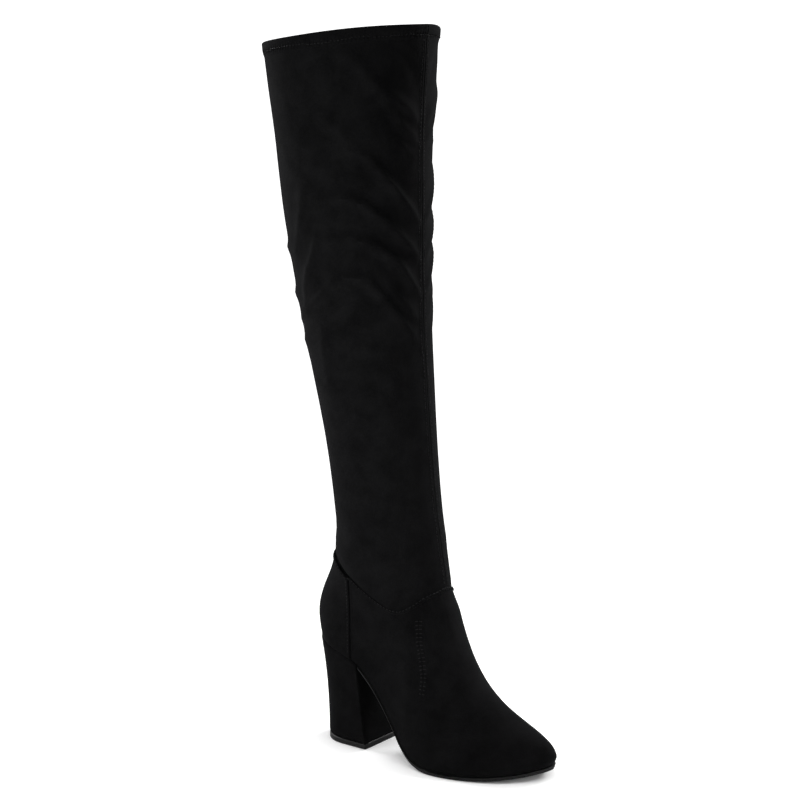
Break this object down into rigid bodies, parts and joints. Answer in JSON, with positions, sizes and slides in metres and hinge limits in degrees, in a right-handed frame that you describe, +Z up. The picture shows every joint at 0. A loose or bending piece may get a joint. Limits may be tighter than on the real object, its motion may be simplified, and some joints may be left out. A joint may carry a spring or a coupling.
{
  "type": "over-the-knee boot",
  "caption": "Tall stretch boot in black suede-look fabric with an almond toe, a covered block heel, a hemmed collar above the knee and an inner foot space",
  "frame": {"origin": "in the middle of the heel's top piece, on the plane it stands on", "axes": "+Z up, +X towards the toe, -Y towards the outer side of a right foot"},
  "size_m": [0.2604, 0.1326, 0.5731],
  "materials": {
    "suede": "matte brushed",
    "sole": "satin",
    "top_piece": "semi-gloss",
    "lining": "matte"
  },
  "bodies": {
    "root": {"outsole": "sole", "heel_block": "suede", "heel_top_piece": "top_piece", "insole": "lining", "upper": "suede", "counter": "suede", "shaft": "suede", "collar_band": "suede"}
  },
  "joints": []
}
